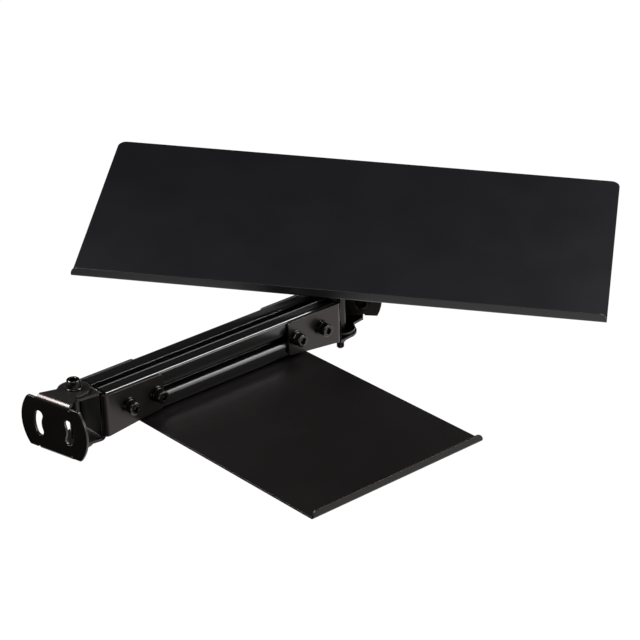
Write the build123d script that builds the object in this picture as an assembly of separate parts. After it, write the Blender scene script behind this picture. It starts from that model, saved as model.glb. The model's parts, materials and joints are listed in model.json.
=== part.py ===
from build123d import *
import math
import os

# Swinging keyboard and mouse tray for a rig: a bracket on the rig, an extrusion arm with a
# pivot at each end, a keyboard tray on the far pivot and a mouse tray under the arm.
# Millimetres, +Z up. The origin is the centre of the rig bracket's outer face, and +X
# points away from the rig.

os.makedirs("parts", exist_ok=True)

# Pose in the photograph
arm_swing_deg = -12.4
tray_swing_deg = -49.6
tray_level_deg = 2.7
tray_slope_deg = 14.0

# Shared values
overrun = 1.0
thread_clearance = 0.05
running_clearance = 0.05
bolt_hole_clearance = 0.25
ear_gap = 0.3

# Bent steel brackets
bracket_sheet = 3.0
bracket_bend_inner = 2.5
bracket_bend_outer = bracket_bend_inner + bracket_sheet

# Rig bracket and tray bracket: a plate with two arc slots, and an ear above and below
pivot_to_plate = 30.5
ear_base_width = 41.0
ear_base_reach = 24.5
ear_neck_width = 25.0
ear_neck_reach = 11.0
ear_end_radius = 15.6
arc_slot_radius = 20.0
arc_slot_width = 9.0
arc_slot_length = 26.5

# Their plates: discs cut flat above and below
rig_plate_radius = 40.9
rig_plate_height = 52.0
rig_plate_corner_radius = 3.0
tray_plate_radius = 39.6
tray_plate_height = 37.8
tray_plate_corner_radius = 1.0

# Arm end brackets: a web, two legs along the extrusion and two ears at the pivot
web_to_pivot = 17.5
web_ear_height = 51.4
web_ear_width = 38.0
web_ear_radius = 17.0
leg_length = 70.0
leg_height = 44.0
leg_tip_rise = 8.0
leg_corner_radius = 5.0
leg_bolt_first = 27.7
leg_bolt_pitch = 33.3
hinge_drop = 3.4

# Slotted extrusion
profile_size = 40.0
profile_length = 284.7
profile_corner_radius = 3.0
profile_end_gap = bracket_bend_inner
slot_mouth = 8.2
slot_lip = 4.5
lip_slope_width = 3.8
lip_slope_depth = 1.0
slot_cavity_width = 20.0
slot_cavity_wall = 2.0
slot_floor_width = 9.0
core_bore_radius = 3.4
corner_bore_radius = 2.2
corner_bore_place = 14.6

# M8 fasteners
bolt_radius = 4.0
bolt_tip_chamfer = 1.0
head_radius = 6.5
head_height = 8.0
head_chamfer = 0.8
socket_across = 6.0
socket_depth = 4.0
washer_radius = 8.0
washer_thickness = 1.6
lock_washer_radius = 6.9
lock_washer_thickness = 2.0
lock_washer_split = 1.2
nut_across = 13.0
nut_height = 6.5
nut_collar_radius = 5.8
nut_collar_height = 1.5
leg_bolt_length = 16.0
plate_bolt_length = 20.0

# Pivot bolts, and the sleeve between the inner pair of ears
rig_pivot_bolt_length = 75.0
tray_pivot_bolt_length = 70.0
sleeve_radius = 6.0

# Slot nuts
slot_nut_length = 18.0
slot_nut_width = 13.0
slot_nut_height = 5.5
slot_nut_neck_height = 2.5
slot_nut_clearance = 0.3

# Keyboard tray
tray_sheet = 2.0
tray_bend_inner = 1.0
tray_length = 539.0
tray_depth = 231.0
tray_lip = 11.5
tray_rear_radius = 9.0
tray_lip_radius = 8.0
tray_front_ahead = 46.3
tray_front_above = 33.4
tray_offset = 1.0

# Hanger under the keyboard tray
hanger_sheet = 4.0
hanger_bend_inner = 1.5
hanger_tab_width = 64.0
hanger_tab_drop = 18.0
hanger_flange_width = 150.0
hanger_flange_depth = 104.0
hanger_corner_radius = 4.0
hanger_relief = 3.0
stud_radius = 2.5
stud_length = 14.0
stud_inset = 14.0
stud_nut_across = 8.0
stud_nut_height = 4.0
stud_washer_radius = 5.0
stud_washer_thickness = 1.0

# Mouse tray
mouse_width = 209.0
mouse_reach = 271.7
mouse_lip = 9.0
mouse_lip_radius = 7.0
mouse_rear_radius = 5.0
mouse_offset = -1.6
mouse_bolt_pitch = 70.0
mouse_bolt_count = 3
button_head_radius = 7.0
button_head_height = 4.4
button_dome = 1.6
button_socket_across = 5.0
mouse_bolt_length = 16.0

# Values that follow
web_ear_outer = web_ear_height / 2
web_ear_inner = web_ear_outer - bracket_sheet
rig_ear_outer = web_ear_outer + ear_gap + bracket_sheet
tray_ear_outer = web_ear_inner - ear_gap
tray_ear_inner = tray_ear_outer - bracket_sheet
web_inside = web_to_pivot + bracket_sheet
profile_start = web_inside + profile_end_gap
pivot_span = 2 * profile_start + profile_length
profile_half = profile_size / 2
leg_outside = profile_half + bracket_sheet
arc_slot_half_deg = math.degrees((arc_slot_length - arc_slot_width) / (2 * arc_slot_radius))
clear_radius = bolt_radius + bolt_hole_clearance
running_radius = bolt_radius + running_clearance


def disc(radius, height, bottom=0.0):
    """Upright cylinder standing at the given height."""
    return Pos(0, 0, bottom) * Cylinder(radius, height, align=(Align.CENTER, Align.CENTER, Align.MIN))


def ring(outer, inner, height, bottom=0.0):
    """Upright ring."""
    bore = disc(inner, height + 2 * overrun, bottom - overrun)
    return disc(outer, height, bottom) - bore


def hexagon(across, height, bottom=0.0):
    """Upright hexagonal prism, given across its flats."""
    return extrude(Pos(0, 0, bottom) * RegularPolygon(across / 2, 6, major_radius=False), height)


def cap_screw(length):
    """Socket head screw: its head stands on Z = 0 and its shank points down."""
    head = disc(head_radius, head_height)
    head = chamfer(head.edges().group_by(Axis.Z)[-1], head_chamfer)
    head -= hexagon(socket_across, socket_depth + overrun, head_height - socket_depth)
    shank = disc(bolt_radius, length, -length)
    shank = chamfer(shank.edges().group_by(Axis.Z)[0], bolt_tip_chamfer)
    return head + shank


def button_screw(length):
    """Low domed screw: its head stands on Z = 0 and its shank points down."""
    head = disc(button_head_radius, button_head_height)
    head = fillet(head.edges().group_by(Axis.Z)[-1], button_head_height - button_dome)
    head -= hexagon(button_socket_across, button_head_height / 2 + overrun, button_head_height / 2)
    shank = disc(bolt_radius, length, -length)
    shank = chamfer(shank.edges().group_by(Axis.Z)[0], bolt_tip_chamfer)
    return head + shank


def flat_washer():
    """Plain washer standing on Z = 0."""
    return ring(washer_radius, clear_radius, washer_thickness)


def lock_washer():
    """Split spring washer standing on Z = 0."""
    body = ring(lock_washer_radius, clear_radius, lock_washer_thickness)
    split = Pos(lock_washer_radius, 0, lock_washer_thickness / 2) * Box(
        2 * (lock_washer_radius - bolt_radius), lock_washer_split, lock_washer_thickness + 2 * overrun)
    return body - split


def lock_nut():
    """Hexagon nut with a locking collar, hanging below Z = 0."""
    body = hexagon(nut_across, nut_height, -nut_height)
    body += disc(nut_collar_radius, nut_collar_height, -nut_height - nut_collar_height)
    height = nut_height + nut_collar_height
    return body - disc(bolt_radius + thread_clearance, height + 2 * overrun, -height - overrun)


def slot_nut():
    """Slot nut below the lips: the slot's mouth faces +Z at Z = 0, and the slot runs along X."""
    top = -slot_lip - slot_nut_clearance
    body = Pos(0, 0, top - slot_nut_height / 2) * Box(slot_nut_length, slot_nut_width, slot_nut_height)
    foot = body.edges().filter_by(Axis.X).group_by(Axis.Z)[0]
    body = chamfer(foot, slot_nut_height / 2)
    neck_width = slot_mouth - 2 * slot_nut_clearance
    neck = Box(slot_nut_length, neck_width, slot_nut_neck_height)
    body += Pos(0, 0, top + slot_nut_neck_height / 2) * neck
    depth = slot_lip + slot_nut_clearance + slot_nut_height + overrun
    return body - disc(bolt_radius + thread_clearance, depth, -depth)


def slot_section():
    """One slot of the extrusion, open at +Y, with lips that slope into its mouth."""
    mouth = slot_mouth / 2
    slope = mouth + lip_slope_width
    edge = profile_half - lip_slope_depth
    cavity = slot_cavity_width / 2
    floor = slot_floor_width / 2
    lip = profile_half - slot_lip
    wall = lip - slot_cavity_wall
    bottom = wall - (cavity - floor)
    right = [(slope, profile_half + overrun), (slope, profile_half), (mouth, edge), (mouth, lip),
             (cavity, lip), (cavity, wall), (floor, bottom)]
    left = [(-x, y) for x, y in reversed(right)]
    return Polygon(*right, *left, align=None)


def extrusion():
    """Slotted square extrusion along X, starting at X = 0."""
    section = RectangleRounded(profile_size, profile_size, profile_corner_radius)
    corner_bore = Pos(corner_bore_place, corner_bore_place) * Circle(corner_bore_radius)
    for turn in range(4):
        section -= Rot(0, 0, 90 * turn) * slot_section()
        section -= Rot(0, 0, 90 * turn) * corner_bore
    section -= Circle(core_bore_radius)
    return extrude(Plane.YZ * section, profile_length)


def arc_slots():
    """The two arc slots, cut along X."""
    middle = CenterArc((0, 0), arc_slot_radius, -arc_slot_half_deg, 2 * arc_slot_half_deg)
    slot = SlotArc(middle, arc_slot_width)
    pair = slot + Rot(0, 0, 180) * slot
    depth = bracket_sheet + 2 * overrun
    return extrude(Plane.YZ.offset(-pivot_to_plate - overrun) * pair, depth)


def pivot_bracket(plate_outline, ear_outer, bore_radius):
    """C-shaped bracket: the pivot stands on the origin and the plate faces -X."""
    reach = pivot_to_plate + ear_end_radius
    outer = Pos((ear_end_radius - pivot_to_plate) / 2, 0) * Rectangle(reach, 2 * ear_outer)
    outer = fillet(outer.vertices().group_by(Axis.X)[0], bracket_bend_outer)
    hollow = reach - bracket_sheet + overrun
    ear_inner = ear_outer - bracket_sheet
    inner = Pos(bracket_sheet - pivot_to_plate + hollow / 2, 0) * Rectangle(hollow, 2 * ear_inner)
    inner = fillet(inner.vertices().group_by(Axis.X)[0], bracket_bend_inner)
    channel = extrude(Plane.XZ * (outer - inner), ear_base_width, both=True)

    base = ear_base_width / 2
    neck = ear_neck_width / 2
    side = [(-pivot_to_plate - overrun, base), (-ear_base_reach, base), (-ear_neck_reach, neck), (0, neck)]
    plan = Polygon(*side, *[(x, -y) for x, y in reversed(side)], align=None)
    plan += Circle(ear_end_radius)
    ears = channel & extrude(plan, 2 * ear_outer, both=True)

    wings = extrude(Plane.YZ.offset(-pivot_to_plate) * plate_outline, bracket_sheet)
    middle = Box(2 * bracket_sheet + overrun, ear_base_width, 4 * ear_outer)
    wings -= Pos(-pivot_to_plate, 0, 0) * middle
    body = ears + wings - arc_slots()
    return body - disc(bore_radius, 2 * ear_outer + 2 * overrun, -ear_outer - overrun)


def cut_disc(radius, height, corner_radius):
    """Outline of a disc cut flat above and below."""
    outline = Circle(radius) & Rectangle(2 * radius, height)
    return fillet(outline.vertices(), corner_radius)


def arm_bracket(bore_radius):
    """Bracket at an end of the arm: the pivot stands on the origin and the arm runs along +X."""
    outer = Pos(web_to_pivot + leg_length / 2, 0) * Rectangle(leg_length, 2 * leg_outside)
    outer = fillet(outer.vertices().group_by(Axis.X)[0], bracket_bend_outer)
    inner = Pos(web_inside + leg_length / 2, 0) * Rectangle(leg_length, profile_size)
    inner = fillet(inner.vertices().group_by(Axis.X)[0], bracket_bend_inner)
    legs = extrude(outer - inner, leg_height / 2, both=True)

    tip = web_to_pivot + leg_length
    side = Polygon((web_to_pivot, -leg_height / 2), (tip, leg_tip_rise - leg_height / 2),
                   (tip, leg_height / 2), (web_to_pivot, leg_height / 2), align=None)
    side = fillet(side.vertices().group_by(Axis.X)[-1], leg_corner_radius)
    legs &= extrude(Plane.XZ * side, leg_outside + overrun, both=True)

    reach = web_inside + web_ear_radius
    shell = Pos(web_inside - reach / 2, 0) * Rectangle(reach, 2 * web_ear_outer)
    shell = fillet(shell.vertices().group_by(Axis.X)[-1], bracket_bend_outer)
    hollow = Pos(web_to_pivot - reach / 2, 0) * Rectangle(reach, 2 * web_ear_inner)
    hollow = fillet(hollow.vertices().group_by(Axis.X)[-1], bracket_bend_inner)
    channel = extrude(Plane.XZ * (shell - hollow), web_ear_width, both=True)
    half_base = web_ear_width / 2
    bend_start = web_to_pivot - bracket_bend_inner
    shoulder = [(web_inside + overrun, half_base), (bend_start, half_base), (0, web_ear_radius)]
    plan = Polygon(*shoulder, *[(x, -y) for x, y in reversed(shoulder)], align=None)
    plan += Circle(web_ear_radius)
    ears = channel & extrude(plan, web_ear_height, both=True)

    body = legs + ears
    for place in leg_bolt_places():
        hole = Rot(90, 0, 0) * Cylinder(clear_radius, 2 * leg_outside + 2 * overrun)
        body -= Pos(place, 0, hinge_drop) * hole
    return body - disc(bore_radius, web_ear_height + 2 * overrun, -web_ear_outer - overrun)


def leg_bolt_places():
    """Distances of the leg bolts from the pivot."""
    first = web_to_pivot + leg_bolt_first
    return [first, first + leg_bolt_pitch]


def folded_tray(length, depth, lip, lip_radius, rear_radius):
    """Sheet along X with its front edge folded up: the fold's outside lies on X and Y = 0."""
    outer = Pos(depth / 2, lip / 2) * Rectangle(depth, lip)
    corner = outer.vertices().group_by(Axis.X)[0].sort_by(Axis.Y)[0]
    outer = fillet(corner, tray_bend_inner + tray_sheet)
    inner = Pos(tray_sheet + depth / 2, tray_sheet + lip / 2) * Rectangle(depth, lip)
    corner = inner.vertices().group_by(Axis.X)[0].sort_by(Axis.Y)[0]
    inner = fillet(corner, tray_bend_inner)
    body = extrude(Plane.YZ * (outer - inner), length / 2, both=True)

    sheet = Pos(0, depth / 2) * Rectangle(length, depth)
    sheet = fillet(sheet.vertices().group_by(Axis.Y)[-1], rear_radius)
    body &= extrude(sheet, lip)
    front = Pos(0, lip / 2) * Rectangle(length, lip)
    front = fillet(front.vertices().group_by(Axis.Y)[-1], lip_radius)
    lip_outline = extrude(Plane.XZ * front, -depth)
    back = Pos(0, depth / 2 + tray_sheet + tray_bend_inner, lip / 2) * Box(length, depth, lip)
    return body & (lip_outline + back)


def stud_places():
    """Places of the studs on the tray's underside, across and up the slope."""
    across = hanger_flange_width / 2 - stud_inset
    near = flange_start() + 2 * stud_inset
    far = flange_start() + hanger_flange_depth - stud_inset
    return [(side * across, place) for side in (-1, 1) for place in (near, far)]


def flange_start():
    """Where the hanger's outer face meets the tray's underside, measured up the slope."""
    return (tray_front_ahead + pivot_to_plate) / math.cos(math.radians(tray_slope_deg))


def hanger():
    """Bent plate: its tab stands behind the pivot bracket's plate, and its flange is under the tray."""
    slope = math.radians(tray_slope_deg)
    bend = (pivot_to_plate, tray_front_above + (pivot_to_plate + tray_front_ahead) * math.tan(slope))
    far = (bend[0] + hanger_flange_depth * math.cos(slope),
           bend[1] + hanger_flange_depth * math.sin(slope))
    under = (hanger_sheet * math.sin(slope), -hanger_sheet * math.cos(slope))
    inside_height = bend[1] + hanger_sheet * math.tan(slope) - hanger_sheet / math.cos(slope)
    inside_bend = (bend[0] + hanger_sheet, inside_height)
    section = Polygon(
        (bend[0], -hanger_tab_drop), (inside_bend[0], -hanger_tab_drop), inside_bend,
        (far[0] + under[0], far[1] + under[1]), far, bend, align=None)
    inside = section.vertices().sort_by_distance(inside_bend)[0]
    section = fillet(inside, hanger_bend_inner)
    outside = section.vertices().sort_by_distance(bend)[0]
    section = fillet(outside, hanger_bend_inner + hanger_sheet)
    body = extrude(Plane.YZ * section, hanger_flange_width / 2, both=True)

    shoulder = inside_height - hanger_relief
    tab = Pos(0, (shoulder - hanger_tab_drop) / 2) * Rectangle(hanger_tab_width, shoulder + hanger_tab_drop)
    tab = fillet(tab.vertices().group_by(Axis.Y)[0], hanger_corner_radius)
    height = 2 * (far[1] + hanger_tab_drop)
    top = Pos(0, shoulder + height / 2) * Rectangle(hanger_flange_width, height)
    front = extrude(Plane.XZ * (tab + top), -(far[0] + hanger_flange_depth))
    body &= front

    flat_length = far[0] + hanger_sheet
    flat = Pos(0, flat_length / 2) * Rectangle(hanger_flange_width, flat_length)
    flat = fillet(flat.vertices().group_by(Axis.Y)[-1], hanger_corner_radius)
    body &= extrude(flat, height, both=True)

    for side in (-1, 1):
        hole = Rot(90, 0, 0) * Cylinder(clear_radius, 2 * (pivot_to_plate + hanger_sheet + overrun))
        body -= Pos(side * arc_slot_radius, 0, 0) * hole
    depth = hanger_sheet + 2 * overrun
    for across, place in stud_places():
        hole = disc(stud_radius + bolt_hole_clearance, depth, -hanger_sheet - overrun)
        body -= tray_plane() * Pos(across, place, 0) * hole
    return body


def tray_plane():
    """Frame of the keyboard tray's underside: X along the front edge, Y up the slope."""
    return Pos(0, -tray_front_ahead, tray_front_above) * Rot(tray_slope_deg, 0, 0)


# Frames of the moving groups, each with its pivot or slot as origin
rig_frame = Pos(pivot_to_plate, 0, 0)
arm_frame = rig_frame * Rot(0, 0, arm_swing_deg)
far_end = arm_frame * Pos(pivot_span, 0, 0)
tray_bracket_frame = far_end * Rot(0, 0, tray_swing_deg)
keyboard_frame = tray_bracket_frame * Rot(0, tray_level_deg, 0)
profile_frame = arm_frame * Pos(profile_start, 0, hinge_drop)
mouse_frame = profile_frame * Pos(profile_length / 2 + mouse_offset, 0, -profile_half)

nodes = {}

# Brackets on the rig and under the tray: the rig's ears are outside the arm's, the tray's inside
rig_plate = cut_disc(rig_plate_radius, rig_plate_height, rig_plate_corner_radius)
tray_plate = cut_disc(tray_plate_radius, tray_plate_height, tray_plate_corner_radius)
nodes["rig_bracket"] = rig_frame * pivot_bracket(rig_plate, rig_ear_outer, clear_radius)
nodes["tray_bracket"] = tray_bracket_frame * Rot(0, 0, -90) * pivot_bracket(
    tray_plate, tray_ear_outer, running_radius)

# Pivots: the bolt, its washers and its nut are on the outer ears, and the sleeve is inside
pivots = {
    "rig_pivot": (rig_frame, rig_ear_outer, web_ear_inner, rig_pivot_bolt_length),
    "tray_pivot": (far_end, web_ear_outer, tray_ear_inner, tray_pivot_bolt_length),
}
for name, (place, seat, inside, length) in pivots.items():
    under_head = seat + washer_thickness
    washers = [Pos(0, 0, height) * flat_washer() for height in (seat, -under_head)]
    nodes[f"{name}_bolt"] = place * Pos(0, 0, under_head) * cap_screw(length)
    nodes[f"{name}_washers"] = Compound([place * washer for washer in washers])
    nodes[f"{name}_nut"] = place * Pos(0, 0, -under_head) * lock_nut()
    nodes[f"{name}_sleeve"] = place * ring(sleeve_radius, running_radius, 2 * inside, -inside)

# Arm
nodes["arm_profile"] = profile_frame * extrusion()
arm_ends = {"rig_end": (arm_frame, running_radius), "tray_end": (far_end * Rot(0, 0, 180), clear_radius)}
for end, (frame, bore_radius) in arm_ends.items():
    bolts, washers, lock_washers, slot_nuts = [], [], [], []
    for side in (0, 180):
        for place in leg_bolt_places():
            face = frame * Pos(place, 0, hinge_drop) * Rot(side, 0, 0) * Rot(-90, 0, 0)
            seat = leg_outside
            washers.append(face * Pos(0, 0, seat) * flat_washer())
            lock_washers.append(face * Pos(0, 0, seat + washer_thickness) * lock_washer())
            seat += washer_thickness + lock_washer_thickness
            bolts.append(face * Pos(0, 0, seat) * cap_screw(leg_bolt_length))
            slot_nuts.append(face * Pos(0, 0, profile_half) * slot_nut())
    nodes[f"{end}_bracket"] = frame * arm_bracket(bore_radius)
    nodes[f"{end}_bolts"] = Compound(bolts)
    nodes[f"{end}_washers"] = Compound(washers)
    nodes[f"{end}_lock_washers"] = Compound(lock_washers)
    nodes[f"{end}_slot_nuts"] = Compound(slot_nuts)

# Keyboard tray, its hanger and the bolts in the arc slots
tray = folded_tray(tray_length, tray_depth, tray_lip, tray_lip_radius, tray_rear_radius)
nodes["keyboard_tray"] = keyboard_frame * tray_plane() * Pos(tray_offset, 0, 0) * tray
nodes["tray_hanger"] = keyboard_frame * hanger()
studs, stud_washers, stud_nuts = [], [], []
for across, place in stud_places():
    stud = keyboard_frame * tray_plane() * Pos(across, place, 0)
    studs.append(stud * disc(stud_radius, stud_length, -stud_length))
    washer = ring(stud_washer_radius, stud_radius + bolt_hole_clearance, stud_washer_thickness)
    stud_washers.append(stud * Pos(0, 0, -hanger_sheet - stud_washer_thickness) * washer)
    nut = hexagon(stud_nut_across, stud_nut_height)
    nut -= disc(stud_radius + thread_clearance, stud_nut_height + 2 * overrun, -overrun)
    stud_nuts.append(stud * Pos(0, 0, -hanger_sheet - stud_washer_thickness - stud_nut_height) * nut)
nodes["tray_studs"] = Compound(studs)
nodes["tray_stud_washers"] = Compound(stud_washers)
nodes["tray_stud_nuts"] = Compound(stud_nuts)
hanger_bolts, hanger_washers, hanger_nuts = [], [], []
for side in (-1, 1):
    axis = keyboard_frame * Pos(side * arc_slot_radius, 0, 0) * Rot(90, 0, 0)
    plate_inside = bracket_sheet - pivot_to_plate
    hanger_back = -pivot_to_plate - hanger_sheet
    hanger_bolts.append(axis * Pos(0, 0, plate_inside + washer_thickness) * cap_screw(plate_bolt_length))
    hanger_washers.append(axis * Pos(0, 0, plate_inside) * flat_washer())
    hanger_washers.append(axis * Pos(0, 0, hanger_back - washer_thickness) * flat_washer())
    hanger_nuts.append(axis * Pos(0, 0, hanger_back - washer_thickness) * lock_nut())
nodes["hanger_bolts"] = Compound(hanger_bolts)
nodes["hanger_washers"] = Compound(hanger_washers)
nodes["hanger_nuts"] = Compound(hanger_nuts)

# Mouse tray under the arm, spaced by washers and bolted to slot nuts that slide in the extrusion
sheet_depth = mouse_reach + profile_half
sheet_bottom = washer_thickness + tray_sheet
tray = Pos(0, -mouse_reach, -sheet_bottom) * folded_tray(
    mouse_width, sheet_depth, mouse_lip, mouse_lip_radius, mouse_rear_radius)
mouse_bolts, mouse_washers, mouse_nuts = [], [], []
for index in range(mouse_bolt_count):
    place = Pos((index - (mouse_bolt_count - 1) / 2) * mouse_bolt_pitch, 0, 0)
    tray -= place * disc(clear_radius, sheet_bottom + overrun, -sheet_bottom - overrun)
    below = mouse_frame * place * Rot(180, 0, 0)
    mouse_washers.append(below * flat_washer())
    mouse_washers.append(below * Pos(0, 0, sheet_bottom) * flat_washer())
    mouse_bolts.append(below * Pos(0, 0, sheet_bottom + washer_thickness) * button_screw(mouse_bolt_length))
    mouse_nuts.append(below * slot_nut())
nodes["mouse_tray"] = mouse_frame * tray
nodes["mouse_bolts"] = Compound(mouse_bolts)
nodes["mouse_washers"] = Compound(mouse_washers)
nodes["mouse_slot_nuts"] = Compound(mouse_nuts)

for name, shape in nodes.items():
    export_step(shape, f"parts/{name}.step")
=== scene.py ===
import json
import math

import bmesh
import bpy
from mathutils import Matrix, Vector


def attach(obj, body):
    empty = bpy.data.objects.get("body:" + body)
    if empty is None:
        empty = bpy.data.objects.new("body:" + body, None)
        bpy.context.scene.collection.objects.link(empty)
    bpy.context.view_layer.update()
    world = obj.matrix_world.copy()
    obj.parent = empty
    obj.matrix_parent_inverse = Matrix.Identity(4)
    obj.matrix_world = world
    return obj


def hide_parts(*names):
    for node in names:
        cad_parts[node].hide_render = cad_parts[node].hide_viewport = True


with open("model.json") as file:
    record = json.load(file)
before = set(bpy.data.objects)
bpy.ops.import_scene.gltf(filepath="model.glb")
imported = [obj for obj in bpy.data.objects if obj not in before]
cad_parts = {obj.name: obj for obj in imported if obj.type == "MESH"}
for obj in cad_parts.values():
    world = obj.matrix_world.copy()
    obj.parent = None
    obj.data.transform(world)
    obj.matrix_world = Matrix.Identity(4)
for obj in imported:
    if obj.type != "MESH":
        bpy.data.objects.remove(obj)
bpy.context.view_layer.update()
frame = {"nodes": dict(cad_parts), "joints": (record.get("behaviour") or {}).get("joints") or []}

# Rig bracket: C-shaped bracket of 3 mm steel plate, cut by laser, bent and powder coated. Its
# plate is bolted to the rig through two arc slots, and its ears hold the pivot bolt. Small
# reliefs beside its bends keep the plate from tearing there.
mm = 0.001
coat_edge = 0.45 * mm
merge_distance = 0.005 * mm
flat_angle = math.radians(1.0)
edge_angle = math.radians(40.0)
bracket_dark = "#0c0b0b"
bracket_light = "#131211"
bracket_sheen = "#fff1ec"
relief_near = 20.1 * mm
relief_far = 21.4 * mm
relief_depth = 6 * mm
relief_overrun = 1 * mm
rig_relief_foot = 23.2 * mm
rig_relief_top = 30 * mm


def piece_from(mesh, name):
    """A piece at the origin that shows this mesh."""
    piece = bpy.data.objects.new(name, mesh)
    bpy.context.scene.collection.objects.link(piece)
    return piece


def round_edges(piece, edge, steps=2):
    """Round a piece's edges and keep its flat faces flat to the eye."""
    piece.data.shade_smooth()
    bevel = piece.modifiers.new("rounded_edges", "BEVEL")
    bevel.width = edge
    bevel.segments = steps
    bevel.limit_method = "ANGLE"
    bevel.angle_limit = edge_angle
    bevel.use_clamp_overlap = False
    bevel.miter_outer = "MITER_ARC"
    piece.modifiers.new("flat_faces", "WEIGHTED_NORMAL")


def whole_mesh(source, name):
    """Copy of a mesh with its points merged and its flat faces whole again."""
    shape = bmesh.new()
    shape.from_mesh(source)
    bmesh.ops.remove_doubles(shape, verts=shape.verts[:], dist=merge_distance)
    bmesh.ops.dissolve_limit(shape, angle_limit=flat_angle, verts=shape.verts[:], edges=shape.edges[:])
    mesh = bpy.data.meshes.new(name)
    shape.to_mesh(mesh)
    shape.free()
    mesh.materials.clear()
    return mesh


def relief_boxes(place, low, high):
    """Mesh of four boxes that mirror each other across a bracket's level and upright planes."""
    shape = bmesh.new()
    middle = (Vector(low) + Vector(high)) / 2
    size = Vector(high) - Vector(low)
    for side in (-1, 1):
        for rise in (-1, 1):
            where = Matrix.Translation((middle.x, side * middle.y, rise * middle.z))
            bmesh.ops.create_cube(shape, size=1.0, matrix=place @ where @ Matrix.Diagonal((*size, 1)))
    mesh = bpy.data.meshes.new("bend_reliefs")
    shape.to_mesh(mesh)
    shape.free()
    return bpy.data.objects.new("bend_reliefs", mesh)


def softened(node, name, edge, reliefs=None):
    """Copy of a CAD node with its edges rounded, and with reliefs cut beside its bends."""
    piece = piece_from(whole_mesh(frame["nodes"][node].data, name), name)
    if reliefs:
        cut = piece.modifiers.new("bend_reliefs", "BOOLEAN")
        cut.object = reliefs
        cut.solver = "EXACT"
        graph = bpy.context.evaluated_depsgraph_get()
        mesh = bpy.data.meshes.new_from_object(piece.evaluated_get(graph))
        piece.modifiers.remove(cut)
        piece.data = whole_mesh(mesh, name)
    round_edges(piece, edge)
    return piece


def linear(colour):
    """sRGB hex colour as linear RGBA."""
    parts = [int(colour[start:start + 2], 16) / 255 for start in (1, 3, 5)]
    return [part / 12.92 if part <= 0.04045 else ((part + 0.055) / 1.055) ** 2.4 for part in parts] + [1.0]


def add_node(tree, kind, values=None, links=None, **settings):
    """Add a node with its settings, its sockets' values and its links from other nodes' outputs."""
    node = tree.nodes.new(kind)
    for name, value in settings.items():
        setattr(node, name, value)
    for socket, value in (values or {}).items():
        node.inputs[socket].default_value = value
    for socket, source in (links or {}).items():
        tree.links.new(source, node.inputs[socket])
    return node


def powder_coat(name, dark, light, sheen, roughness, specular):
    """Black polyester powder coat on steel: baked on, it flows into low waves with a fine grain.

    It gives the eye a near-black satin with broad soft highlights. The real grain is about
    0.1 mm, too fine to show, so it is drawn at 0.5 mm; the waves are 2.5 mm from crest to crest."""
    patch = 60 * mm
    wave = 2.5 * mm
    grain = 0.5 * mm
    relief = 0.012 * mm
    grain_share = 0.3
    gloss_spread = 0.04
    material = bpy.data.materials.new(name)
    material.use_nodes = True
    tree = material.node_tree
    shader = tree.nodes["Principled BSDF"]
    shader.inputs["IOR"].default_value = 1.5
    shader.inputs["Specular IOR Level"].default_value = specular
    shader.inputs["Specular Tint"].default_value = linear(sheen)
    place = add_node(tree, "ShaderNodeTexCoord").outputs["Object"]
    patches = add_node(tree, "ShaderNodeTexNoise", {"Scale": 1 / patch, "Detail": 3.0}, {"Vector": place})
    waves = add_node(tree, "ShaderNodeTexNoise", {"Scale": 1 / wave, "Detail": 1.0}, {"Vector": place})
    grains = add_node(tree, "ShaderNodeTexNoise", {"Scale": 1 / grain, "Detail": 1.0}, {"Vector": place})
    height = add_node(tree, "ShaderNodeMath", {1: grain_share},
                      {0: grains.outputs["Fac"], 2: waves.outputs["Fac"]}, operation="MULTIPLY_ADD")
    bump = add_node(tree, "ShaderNodeBump", {"Distance": relief}, {"Height": height.outputs[0]})
    colour = add_node(tree, "ShaderNodeMix", {6: linear(dark), 7: linear(light)},
                      {0: patches.outputs["Fac"]}, data_type="RGBA")
    gloss = add_node(tree, "ShaderNodeMapRange", {3: roughness - gloss_spread, 4: roughness + gloss_spread},
                     {0: patches.outputs["Fac"]})
    tree.links.new(bump.outputs["Normal"], shader.inputs["Normal"])
    tree.links.new(colour.outputs[2], shader.inputs["Base Color"])
    tree.links.new(gloss.outputs[0], shader.inputs["Roughness"])
    return material


def finish_piece(piece, material, body, slot, *nodes):
    """Give a piece its material and the body that carries it, and hide the CAD nodes that it stands for."""
    if material.name not in piece.data.materials:
        piece.data.materials.append(material)
    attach(piece, body)
    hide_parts(*nodes)


bracket_coat = powder_coat("bracket_powder_coat", bracket_dark, bracket_light, bracket_sheen, 0.3, 0.5)
rig_reliefs = relief_boxes(Matrix(), (-relief_overrun, relief_near, rig_relief_foot),
                           (relief_depth, relief_far, rig_relief_top))
finish_piece(softened("rig_bracket", "rig_bracket_plate", coat_edge, rig_reliefs), bracket_coat,
             "rig_mount", "bracket_paint", "rig_bracket")

# Arm end brackets: at each end of the extrusion a U of 3 mm plate grips its sides, and two ears
# bent back from the U's web turn on the pivot bolt. Cut by laser, bent and powder coated.
for end in ("rig_end", "tray_end"):
    finish_piece(softened(f"{end}_bracket", f"{end}_bracket_plate", coat_edge), bracket_coat,
                 "arm", "bracket_paint", f"{end}_bracket")

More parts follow.
